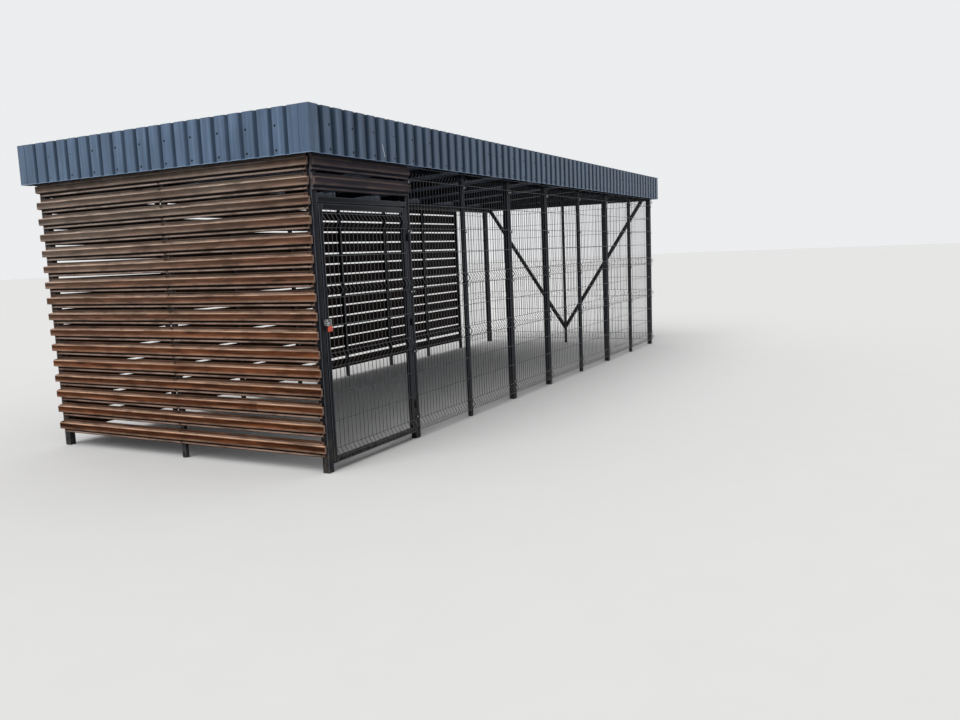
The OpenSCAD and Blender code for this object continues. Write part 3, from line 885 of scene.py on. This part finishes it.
def plank(shape, low, high, out, draw, make_section, dull):
    """One board along its box's longest level side, a little uneven, with end grain. A board under
    the fascia gets a painted shadow, darker and bluer."""
    size = high - low
    run = RIGHT if size.x > size.y else REAR
    length = size.dot(run)
    thick = abs(size.dot(out))
    start = Vector((
        low.x if out.x >= 0 else high.x,
        low.y if out.y >= 0 else high.y,
        low.z,
    ))
    start = start + run * (low - start).dot(run)
    section = make_section(thick, size.z)
    shift = Vector([draw.uniform(0, GRAIN_SHIFT) for _ in range(3)])
    tone = draw.random()
    phases = [draw.uniform(0, 2 * math.pi) for _ in range(4)]
    count = max(2, round(length / PLANK_STATION))
    rings = []
    for i in range(count + 1):
        s = length * i / count
        slow, quick, first, second = (
            math.sin(wave * s + phase) for wave, phase in zip(LIFT_WAVES + FACE_WAVES, phases))
        lift = PLANK_WAVE * (slow + QUICK_LIFT * quick)
        face = PLANK_WAVE * FACE_SHARE * (first + second - 2)
        points = []
        for u, v, _, _ in section:
            nudge = out * face if u > thick / 2 else Vector()
            points.append(start + run * s + out * u + UP * (v + lift) + nudge)
        rings.append(shape.ring(
            points,
            grain=[(s + shift.x, v + shift.y, u + shift.z) for u, v, _, _ in section],
            tone=[tone] * len(section),
            weather=[weathering(p) for p in points],
            dull=[dull] * len(section),
            wear=[w for _, _, w, _ in section],
            shade=[d for _, _, _, d in section],
            inner=[1.0 if u == 0 else 0.0 for u, _, _, _ in section],
        ))
    shape.skin(rings)
    shape.caps(rings, slot=1)


def cut_boxes(boxes, axis, cuts):
    """Boxes cut at butt joints: cuts maps a row to the places of its joints."""
    made = []
    for row, (low, high) in enumerate(boxes):
        start = low.copy()
        for place in sorted(cuts.get(row, [])):
            end = high.copy()
            end[axis] = place - BUTT_GAP / 2
            made.append((start.copy(), end))
            start[axis] = place + BUTT_GAP / 2
        made.append((start, high))
    return made


def timber(node, out, seed, strips=False, cuts=None, dull=0.0):
    """All boards or strips of a CAD node, shown in its place."""
    draw = random.Random(seed)
    shape = Shape()
    for low, high in cut_boxes(solids(node), run_axis(out), cuts or {}):
        plank(shape, low, high, out, draw, strip_section if strips else board_section, dull)
    stand_for(node, shape.mesh(node + "_shape"), [END_GRAIN])


def board_screws(node, out, places):
    """Screw heads in the boards' upper shoulders and lower lips, at the posts."""
    shape = Shape()
    axis = run_axis(out)
    for low, high in solids(node):
        face = max(low.dot(out), high.dot(out))
        for place in places:
            at = min(max(place, low[axis] + SCREW_IN), high[axis] - SCREW_IN)
            if abs(at - place) > SCREW_REACH:
                continue
            for up in (SHOULDER_UP, LIP_UP):
                centre = out * face + UP * (low.z + up)
                centre[axis] = at
                turned(shape, centre, out, SCREW_PROFILE, SCREW_SIDES)
    fit_on(node, shape.mesh(node + "_screws"), SCREWS)


# Welded mesh panels

WIRE = 0.005
WIRE_SIDES = 8
WIRE_PITCH = 0.05
WIRE_STEP = 0.2
FOLD_HEIGHT = 0.1
FOLD_BEND = 0.006
GATE_STEPS = (3, 2, 2)
TALL_STEPS = (3, 2, 4)
WELD_SINK = 0.0004
CROSS_WIRE_OUT = WIRE * 1.5 - WELD_SINK


def wire_levels(low, steps):
    """Heights of the fold starts and of the plain cross wires; steps counts the openings
    between one fold and the next."""
    z = low + WIRE / 2
    folds, plain = [], []
    for count in steps + (0,):
        folds.append(z)
        z += FOLD_HEIGHT
        for _ in range(count - 1):
            z += WIRE_STEP
            plain.append(z)
        z += WIRE_STEP
    return folds, plain


def mesh_panel(node, out):
    """Round wires bent through four folds, with straight cross wires welded on."""
    low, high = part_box(node)
    run = run_of(out)
    run_low, run_high = low.dot(run), high.dot(run)
    base = out * min(low.dot(out), high.dot(out))
    depth = abs((high - low).dot(out))
    folds, plain = wire_levels(low.z, GATE_STEPS if node == "gate_mesh" else TALL_STEPS)
    radius = WIRE / 2
    line = [Vector((radius, 0, low.z))]
    for z in folds:
        line += [Vector((radius, 0, z + radius)),
                 Vector((depth - radius, 0, z + FOLD_HEIGHT / 2)),
                 Vector((radius, 0, z + FOLD_HEIGHT - radius))]
    line.append(Vector((radius, 0, high.z)))
    line = round_path(line, FOLD_BEND)
    width = run_high - run_low
    count = math.floor((width - WIRE) / WIRE_PITCH + WELD)
    step = (width - WIRE) / count
    shape = Shape()
    for i in range(count + 1):
        x = run_low + radius + i * step
        bar(shape, [base + out * p.x + run * x + UP * p.z for p in line], run, radius)
    for z in plain + folds + [f + FOLD_HEIGHT for f in folds]:
        centre = base + out * CROSS_WIRE_OUT + UP * z
        bar(shape, [centre + run * run_low, centre + run * run_high], UP, radius)
    stand_for(node, shape.mesh(node + "_shape"), sharp_deg=WIRE_SHARP_DEG)


# Bolts of the mesh clamps
WHOLE_CLAMP = 0.03
CLAMP_BOLT_IN = 0.010
CLAMP_SEED = 11
WASHER_R = 0.0155 / 2
WASHER_PROFILE = [(0, WASHER_R), (0.0015, WASHER_R), (0.0018, WASHER_R - 0.001)]
WASHER_SIDES = 16
BOLT_SIDES = 6
BOLT_R = 0.010 / 2 / math.cos(math.pi / BOLT_SIDES)
BOLT_FOOT = 0.0016
BOLT_TOP = BOLT_FOOT + 0.005
BOLT_PROFILE = [(BOLT_FOOT, BOLT_R), (BOLT_TOP - 0.0015, BOLT_R), (BOLT_TOP, BOLT_R * 0.84)]


def clamp_bolts():
    """Two hexagon bolts on washers on each whole mesh clamp, and one on each half clamp."""
    shape = Shape()
    draw = random.Random(CLAMP_SEED)
    for low, high in solids("mesh_clamps"):
        size = high - low
        middle = (low + high) / 2
        if size.x < size.y:
            out, run, width = RIGHT, REAR, size.y
        else:
            out, run, width = (FRONT if middle.y < 0 else REAR), RIGHT, size.x
        face = middle + out * (abs(size.dot(out)) / 2)
        for side in (-1, 1) if width > WHOLE_CLAMP else (0,):
            centre = face + run * side * (width / 2 - CLAMP_BOLT_IN)
            turned(shape, centre, out, WASHER_PROFILE, WASHER_SIDES)
            turned(shape, centre, out, BOLT_PROFILE, BOLT_SIDES, start=draw.uniform(0, 1))
    obj = fit_on("mesh_clamps", shape.mesh("clamp_bolts"), MATERIALS["zinc_steel"])


# Ribbed sheet. Each corner carries deep (painted shade in or beside a groove), rim (the cut lower
# edge) and inside (the back).

SHEET = 0.0015
SHEET_BEND = 0.004
SHEET_LEVELS = [0, 0.003, 0.008, 0.041, 0.082, 0.123, 0.164, 0.205, 0.246, 0.287, 0.328]
SHEET_RIM = 0.004
SHEET_FOOT = WELD * 10
LINE_PLACES = 5
GROOVE_TEST = 0.01

# Unevenness of the sheet: waves in radians per metre, less at the middle than at the edges
SHEET_WAVE = 0.0014
SHEET_WAVES = (1.7, 4.9)
SHEET_TWIST = 2
SHEET_HELD = 0.25
SHEET_SEED = 20

# Painted shade of the grooves as (distance from a groove's middle, darkness), broad on the front
# and rear, narrow on the ends
BROAD_GROOVE_SHADE = [(0.012, 1.0), (0.020, 0.88), (0.030, 0.62), (0.040, 0.30), (0.052, 0.0)]
NARROW_GROOVE_SHADE = [(0.009, 1.0), (0.015, 0.55), (0.022, 0.14), (0.030, 0.0)]
GROOVE_SHADE_APART = 0.002

# Corner flashings
FLASHING_BEND = 0.003
FLASHING_INNER_BEND = 0.002
FLASHING_STEPS = 3
FLASHING_LEVELS = (0, SHEET_RIM * 0.75, SHEET_RIM * 2)

# Screws of the fascia
FASCIA_SCREW_OFF = 0.043
FLASHING_SCREW_IN = 0.045
FASCIA_WASHER = [(0, 0.0090), (0.0012, 0.0090)]
FASCIA_WASHER_SIDES = 14
FASCIA_HEAD_R = 0.0050
FASCIA_HEAD = [(0.001, FASCIA_HEAD_R), (0.0030, FASCIA_HEAD_R), (0.0034, FASCIA_HEAD_R * 0.8)]
FASCIA_HEAD_SIDES = 6
RAIL_PLACES = 4


def sheet_line(node, out):
    """The outer line of an upright ribbed sheet, as points on its bottom."""
    run = run_of(out)
    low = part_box(node)[0].z
    reach = {}
    for corner in frame["nodes"][node].data.vertices:
        if corner.co.z < low + SHEET_FOOT:
            along = round(corner.co.dot(run), LINE_PLACES)
            reach[along] = max(reach.get(along, -math.inf), corner.co.dot(out))
    return [run * along + out * reach[along] for along in sorted(reach)]


def groove_places(node, out):
    """Middles of an upright ribbed sheet's grooves along its run."""
    run = run_of(out)
    line = sheet_line(node, out)
    face = max(p.dot(out) for p in line)
    reach = [p.dot(run) for p in line if p.dot(out) < face - GROOVE_TEST]
    return [(reach[i] + reach[i + 1]) / 2 for i in range(0, len(reach) - 1, 2)]


def groove_shade(away, bands):
    """How much painted shade the sheet has at a distance from the middle of the nearest groove."""
    steps = [(0.0, 1.0)] + bands
    for (near, first), (far, last) in zip(steps, steps[1:]):
        if away < far:
            return first + (last - first) * (away - near) / (far - near)
    return 0.0


def with_groove_shade_points(line, run, grooves, bands):
    """The sheet's line with more points where its painted groove shade changes."""
    places = [g + side * away for g in grooves for away, _ in bands for side in (-1, 1)]
    made = [line[0]]
    for start, end in zip(line, line[1:]):
        low, high = start.dot(run), end.dot(run)
        for place in sorted(p for p in places if low + GROOVE_SHADE_APART < p < high - GROOVE_SHADE_APART):
            made.append(start.lerp(end, (place - low) / (high - low)))
        made.append(end)
    return made


def ribbed_sheet(node, out, seed, bands):
    """Thin sheet with rounded bends and a slight unevenness, shown in a CAD node's place."""
    draw = random.Random(seed)
    low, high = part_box(node)
    run = run_of(out)
    grooves = groove_places(node, out)
    line = with_groove_shade_points(round_path(sheet_line(node, out), SHEET_BEND), run, grooves, bands)
    phases = [draw.uniform(0, 2 * math.pi) for _ in SHEET_WAVES]
    slow, quick = SHEET_WAVES
    shape = Shape()
    rings = []
    deep = [groove_shade(min(abs(p.dot(run) - g) for g in grooves), bands) for p in line]
    for up in SHEET_LEVELS:
        t = up / SHEET_LEVELS[-1]
        z = low.z + (high.z - low.z) * t
        wave = SHEET_WAVE * (SHEET_HELD + (1 - SHEET_HELD) * (abs(t - 0.5) * 2))
        points = []
        for p in line:
            s = p.dot(run)
            swing = (math.sin(slow * s + phases[0])
                     + math.sin(quick * s + phases[1] + SHEET_TWIST * t))
            points.append(p + out * (wave * (swing - 2) / 4) + UP * z)
        back = [q - out * SHEET for q in reversed(points)]
        rings.append(shape.ring(
            points + back, deep=deep + [0.0] * len(line),
            rim=[1.0 if up < SHEET_RIM else 0.0] * (2 * len(line)),
            inside=[0.0] * len(line) + [1.0] * len(line)))
    shape.skin(rings)
    shape.sheet_ends(rings)
    stand_for(node, shape.mesh(node + "_shape"))


def corner_flashings():
    """Folded corner strips, each a thin angle with a rounded fold."""
    node = "corner_flashings"
    shape = Shape()
    for low, high in solids(node):
        middle = (low + high) / 2
        sx, sy = math.copysign(1, middle.x), math.copysign(1, middle.y)
        fold = Vector((high.x if sx > 0 else low.x, high.y if sy > 0 else low.y, 0))
        end_x = Vector((low.x if sx > 0 else high.x, fold.y, 0))
        end_y = Vector((fold.x, low.y if sy > 0 else high.y, 0))
        inward = Vector((-sx * SHEET, -sy * SHEET, 0))
        outer = round_path([end_x, fold, end_y], FLASHING_BEND, FLASHING_STEPS)
        inner = round_path([
            Vector((end_x.x, end_x.y + inward.y, 0)), fold + inward,
            Vector((end_y.x + inward.x, end_y.y, 0))], FLASHING_INNER_BEND, FLASHING_STEPS)
        loop = outer + inner[::-1]
        rings = [
            shape.ring([p + UP * z for p in loop], deep=[0.0] * len(loop),
                       rim=[1.0 if z < low.z + SHEET_RIM else 0.0] * len(loop),
                       inside=[0.0] * len(outer) + [1.0] * len(inner))
            for z in (*(low.z + up for up in FLASHING_LEVELS), high.z)
        ]
        shape.skin(rings)
        shape.sheet_ends(rings)
    stand_for(node, shape.mesh(node + "_shape"))


def fascia_screws(node, out, first):
    """Two rows of dark screws beside every other groove from the first, over the rails."""
    run = run_of(out)
    face = max(p.dot(out) for p in sheet_line(node, out))
    rails = sorted({
        round((low.z + high.z) / 2, RAIL_PLACES) for low, high in solids("fascia_rails")})
    end = SHOWN_HALF.dot(run) - FLASHING_SCREW_IN
    shape = Shape()
    for groove in groove_places(node, out)[first::2]:
        place = max(groove - FASCIA_SCREW_OFF, -end)
        for z in rails:
            centre = run * place + out * (face - SHEET_WAVE) + UP * z
            turned(shape, centre, out, FASCIA_WASHER, FASCIA_WASHER_SIDES)
            turned(shape, centre, out, FASCIA_HEAD, FASCIA_HEAD_SIDES)
    fit_on(node, shape.mesh(node + "_screws"), SCREWS)


# The whole object


def dress_steel():
    for node in ("latch_post", "hinge_post", "front_posts", "rear_posts", "middle_posts",
                 "front_beam", "rear_beam", "tie_beams", "roof_joists"):
        rounded(node, TUBE_CORNER, rubbed=True)
    for node in ("fascia_rails", "gate_head_rail", "gate_stiles", "gate_rails", "front_brace",
                 "rear_brace"):
        rounded(node, SMALL_TUBE_CORNER, rubbed=True)
    for node in ("mesh_clamps", "gate_hinges", "post_hinges", "latch_keeper", "gate_hasp",
                 "padlock_case"):
        rounded(node, PLATE_CORNER)


def post_places():
    """Middles of the rear posts along X."""
    return sorted((low.x + high.x) / 2 for low, high in solids("rear_posts"))


def dress_timber():
    """The boards and strips of each wall, with a seed of their own, and their screws."""
    places = post_places()
    rear_joints = {
        row: [places[first + row % count] for first, count in REAR_JOINT_POSTS]
        for row in range(BOARD_ROWS)
    }
    timber("left_boards", LEFT, 1)
    timber("left_strips", LEFT, 2, strips=True, cuts=LEFT_JOINT)
    timber("rear_boards", REAR, 3)
    timber("rear_strips", REAR, 4, strips=True, cuts=rear_joints)
    timber("gate_head_boards", FRONT, 5, dull=HEAD_FASCIA_SHADOW)
    timber("gate_head_strips", FRONT, 6, strips=True, dull=HEAD_FASCIA_SHADOW)
    board_screws("left_boards", LEFT, LEFT_SCREWS)
    board_screws("rear_boards", REAR, places)
    board_screws("gate_head_boards", FRONT, places)


def dress_mesh():
    for node in sorted(frame["nodes"]):
        if node.startswith("front_mesh") or node == "gate_mesh":
            mesh_panel(node, FRONT)
    mesh_panel("right_mesh_front", RIGHT)
    mesh_panel("right_mesh_rear", RIGHT)
    mesh_panel("rear_mesh", REAR)
    clamp_bolts()


def dress_sheet():
    """The four fascias, with their first groove that has screws beside it, and their corners."""
    sheets = (("front_fascia", FRONT, 1), ("rear_fascia", REAR, 1),
              ("left_fascia", LEFT, 0), ("right_fascia", RIGHT, 0))
    for number, (node, out, first) in enumerate(sheets):
        ribbed_sheet(node, out, SHEET_SEED + number, BROAD_GROOVE_SHADE if out.y else NARROW_GROOVE_SHADE)
        fascia_screws(node, out, first)
    corner_flashings()


def finish_cad_nodes():
    """CAD nodes that stay get their finished material."""
    for node, obj in frame["nodes"].items():
        if not obj.hide_render:
            obj.data.materials[0] = MATERIALS[SLOTS[node]]


# Stage

FLOOR_HALF = 150.0
FLOOR_SEEN = (0.52, 0.52, 0.515)
FLOOR_DARK = 0.985
FLOOR_STOPS = (0.3, 0.7)
FLOOR_GRAIN = {"scale": 3.0, "detail": 5}
FLOOR_ROUGH = 0.9
FLOOR_BOUNCE = (0.29, 0.32, 0.38)
BACKGROUND_SEEN = (0.84, 0.85, 0.86)

# Overcast studio light: a dome that is brightest overhead, and one very soft sun
DOME_LOW = 0.20
DOME_RISE = 1.10
DOME_STRENGTH = 1.0
SUN_TOWARDS = Vector((-0.68, 0.0, 0.73))
SUN_STRENGTH = 2.45
SUN_SPREAD_DEG = 50

# Camera, in the frame's metres and in radians
CAMERA_AT = Vector((-8.7865, -5.2180, 1.5492))
CAMERA_YAW = 0.48925
CAMERA_PITCH = -0.12876
CAMERA_ROLL = -0.04009
CAMERA_END = 300
IMAGE_WIDTH_PX = 960
FOCAL_PX = 827.61
SENSOR_MM = 36.0


def floor():
    """A plain floor, pale where it is looked at and bluer in the light that it throws back."""
    mesh = bpy.data.meshes.new("floor")
    h = FLOOR_HALF
    mesh.from_pydata([(-h, -h, 0), (h, -h, 0), (h, h, 0), (-h, h, 0)], [], [(0, 1, 2, 3)])
    s = new_shader("floor")
    grain = s.noise(s.place(), **FLOOR_GRAIN)
    pale = s.ramp(grain, FLOOR_STOPS, (times(FLOOR_SEEN, FLOOR_DARK), FLOOR_SEEN))
    s.set(Base_Color=s.blend(s.seen_directly(), FLOOR_BOUNCE, pale), Roughness=FLOOR_ROUGH)
    mesh.materials.append(s.owner)
    obj = bpy.data.objects.new("floor", mesh)
    bpy.context.scene.collection.objects.link(obj)


def world():
    """A dome brighter overhead for the light, and an even pale background to look at."""
    made = bpy.data.worlds.new("studio")
    bpy.context.scene.world = made
    s = Shader(made, "Background")
    direction = s.add("ShaderNodeTexCoord").outputs["Generated"]
    dome = s.calc("MULTIPLY_ADD", s.axis(direction, "Z"), DOME_RISE, DOME_LOW)
    s.set(Color=s.blend(s.seen_directly(), dome, BACKGROUND_SEEN), Strength=DOME_STRENGTH)


def sun():
    lamp = bpy.data.lights.new("sun", "SUN")
    lamp.energy = SUN_STRENGTH
    lamp.angle = math.radians(SUN_SPREAD_DEG)
    obj = bpy.data.objects.new("sun", lamp)
    bpy.context.scene.collection.objects.link(obj)
    obj.rotation_mode = "QUATERNION"
    obj.rotation_quaternion = SUN_TOWARDS.to_track_quat("Z", "Y")


def camera():
    """The photograph's viewpoint, turned by yaw, pitch and roll."""
    data = bpy.data.cameras.new("camera")
    data.sensor_width = SENSOR_MM
    data.lens = SENSOR_MM * FOCAL_PX / IMAGE_WIDTH_PX
    data.clip_end = CAMERA_END
    obj = bpy.data.objects.new("camera", data)
    bpy.context.scene.collection.objects.link(obj)
    ahead = Vector((
        math.cos(CAMERA_YAW) * math.cos(CAMERA_PITCH),
        math.sin(CAMERA_YAW) * math.cos(CAMERA_PITCH),
        math.sin(CAMERA_PITCH),
    ))
    level = Vector((math.sin(CAMERA_YAW), -math.cos(CAMERA_YAW), 0))
    upright = level.cross(ahead)
    side = level * math.cos(CAMERA_ROLL) + upright * math.sin(CAMERA_ROLL)
    top = upright * math.cos(CAMERA_ROLL) - level * math.sin(CAMERA_ROLL)
    turn = Matrix((side, top, -ahead)).transposed()
    obj.matrix_world = Matrix.Translation(CAMERA_AT) @ turn.to_4x4()
    bpy.context.scene.camera = obj


bpy.context.scene.view_settings.view_transform = "Standard"
camera()
dress_steel()
dress_timber()
dress_mesh()
dress_sheet()
finish_cad_nodes()
floor()
world()
sun()
